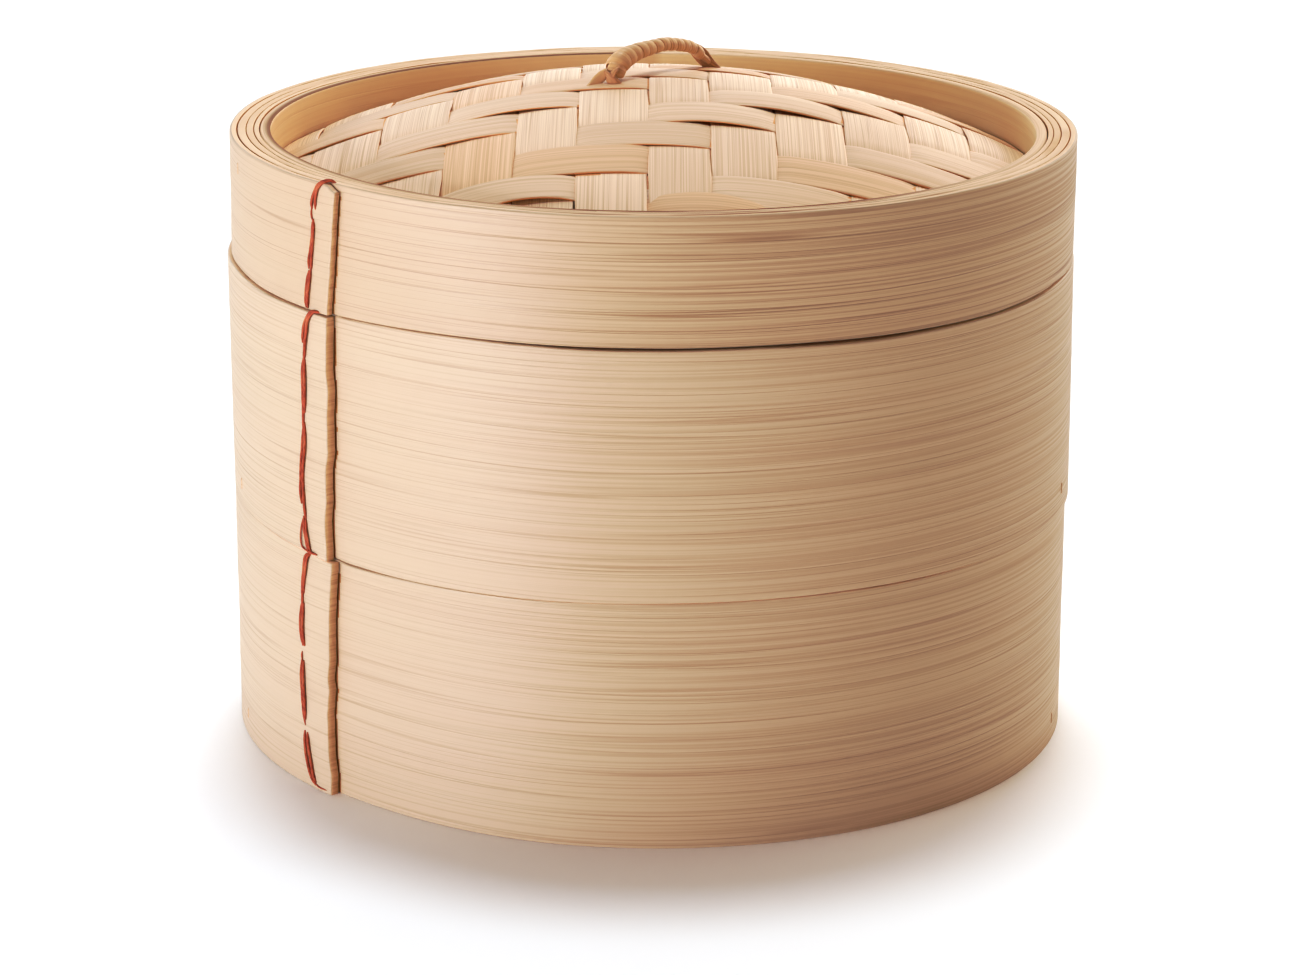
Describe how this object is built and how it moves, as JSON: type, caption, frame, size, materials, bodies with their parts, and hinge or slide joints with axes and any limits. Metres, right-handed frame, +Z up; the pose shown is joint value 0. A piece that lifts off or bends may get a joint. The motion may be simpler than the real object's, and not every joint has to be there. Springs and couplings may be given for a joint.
{
  "type": "bamboo steamer",
  "caption": "Round stacked bamboo steamer with slatted floors, nesting coiled walls and a domed woven lid with a rattan loop handle.",
  "frame": {"origin": "centre of the underside, on the surface that the steamer stands on", "axes": "+Z up along the stack, front (left of it the lap edges and red stitches) towards -Y, +X to the right"},
  "size_m": [0.2, 0.2, 0.1627],
  "materials": {
    "wall": "satin bamboo strip, long fine fibres",
    "hoop": "matte bamboo, orange tan",
    "slat": "satin bamboo",
    "weave": "satin bamboo strip, pale",
    "lining": "matte fine woven bamboo",
    "rattan": "satin rattan",
    "cord": "twisted brick red cord"
  },
  "bodies": {
    "lower_tier": {"lower_tier_wall": "wall", "lower_tier_spigot_hoop": "hoop", "lower_tier_support_hoop": "hoop", "lower_tier_stitch": "cord", "lower_tier_crossbar_front": "slat", "lower_tier_crossbar_back": "slat", "lower_tier_slat_1": "slat", "lower_tier_slat_2": "slat", "lower_tier_slat_3": "slat", "lower_tier_slat_4": "slat", "lower_tier_slat_5": "slat", "lower_tier_slat_6": "slat", "lower_tier_slat_7": "slat"},
    "upper_tier": {"upper_tier_wall": "wall", "upper_tier_spigot_hoop": "hoop", "upper_tier_support_hoop": "hoop", "upper_tier_stitch": "cord", "upper_tier_crossbar_front": "slat", "upper_tier_crossbar_back": "slat", "upper_tier_slat_1": "slat", "upper_tier_slat_2": "slat", "upper_tier_slat_3": "slat", "upper_tier_slat_4": "slat", "upper_tier_slat_5": "slat", "upper_tier_slat_6": "slat", "upper_tier_slat_7": "slat"},
    "lid": {"lid_wall": "wall", "lid_upper_ring": "hoop", "lid_lower_ring": "hoop", "lid_lining": "lining", "lid_stitch": "cord", "lid_warp_01": "weave", "lid_warp_02": "weave", "lid_warp_03": "weave", "lid_warp_04": "weave", "lid_warp_05": "weave", "lid_warp_06": "weave", "lid_warp_07": "weave", "lid_warp_08": "weave", "lid_warp_09": "weave", "lid_warp_10": "weave", "lid_warp_11": "weave", "lid_warp_12": "weave", "lid_weft_01": "weave", "lid_weft_02": "weave", "lid_weft_03": "weave", "lid_weft_04": "weave", "lid_weft_05": "weave", "lid_weft_06": "weave", "lid_weft_07": "weave", "lid_weft_08": "weave", "lid_weft_09": "weave", "lid_weft_10": "weave", "lid_weft_11": "weave", "lid_weft_12": "weave", "lid_weft_13": "weave", "lid_weft_14": "weave", "lid_weft_15": "weave", "handle_core": "rattan", "handle_wrap": "rattan"}
  },
  "joints": [
    {"name": "upper_tier_lift", "type": "slide", "parent": "lower_tier", "child": "upper_tier", "axis": [0, 0, 1], "range_m": [0, 0.15]},
    {"name": "lid_lift", "type": "slide", "parent": "upper_tier", "child": "lid", "axis": [0, 0, 1], "range_m": [0, 0.15]}
  ]
}
